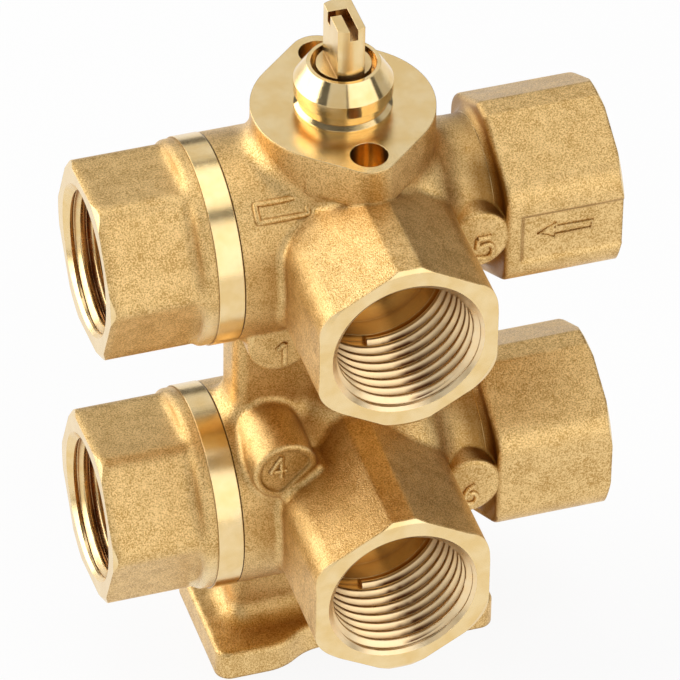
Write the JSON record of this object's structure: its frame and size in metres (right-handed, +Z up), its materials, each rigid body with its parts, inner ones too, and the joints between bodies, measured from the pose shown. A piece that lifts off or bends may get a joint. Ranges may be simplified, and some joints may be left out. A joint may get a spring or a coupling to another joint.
{
  "type": "six-way control valve",
  "caption": "Cast brass control valve of two stacked three-way ball valves turned by one stem, with threaded ports, a drive flange on top and a foot below",
  "frame": {"origin": "the middle of the underside of the foot, on the line of the stem", "axes": "+Z up along the stem; +X towards the cast side ports, so the screwed-in end connectors face -X; the front ports face -Y"},
  "size_m": [0.0746, 0.0467, 0.1085],
  "materials": {
    "cast_brass": "blasted casting, machined at the faces and bores",
    "turned_brass": "turned bright",
    "ball": "plated and polished",
    "seat": "moulded white fluoropolymer",
    "seal": "moulded black rubber"
  },
  "bodies": {
    "housing": {"valve_body": "cast_brass", "upper_end_connector": "cast_brass", "lower_end_connector": "cast_brass", "stem_bush": "turned_brass", "thrust_washer": "seat", "upper_right_seat": "seat", "upper_front_seat": "seat", "upper_left_seat": "seat", "lower_right_seat": "seat", "lower_front_seat": "seat", "lower_left_seat": "seat", "upper_right_seat_o_ring": "seal", "upper_front_seat_o_ring": "seal", "upper_left_seat_o_ring": "seal", "lower_right_seat_o_ring": "seal", "lower_front_seat_o_ring": "seal", "lower_left_seat_o_ring": "seal", "upper_connector_o_ring": "seal", "lower_connector_o_ring": "seal"},
    "rotor": {"stem": "turned_brass", "coupling_shaft": "turned_brass", "upper_ball": "ball", "lower_ball": "ball", "upper_stem_o_ring": "seal", "lower_stem_o_ring": "seal", "upper_shaft_o_ring": "seal", "lower_shaft_o_ring": "seal"}
  },
  "joints": [
    {"name": "stem_turn", "type": "hinge", "parent": "housing", "child": "rotor", "pos_m": [0, 0, 0.0738], "axis": [0, 0, 1], "range_deg": [0, 90]}
  ]
}
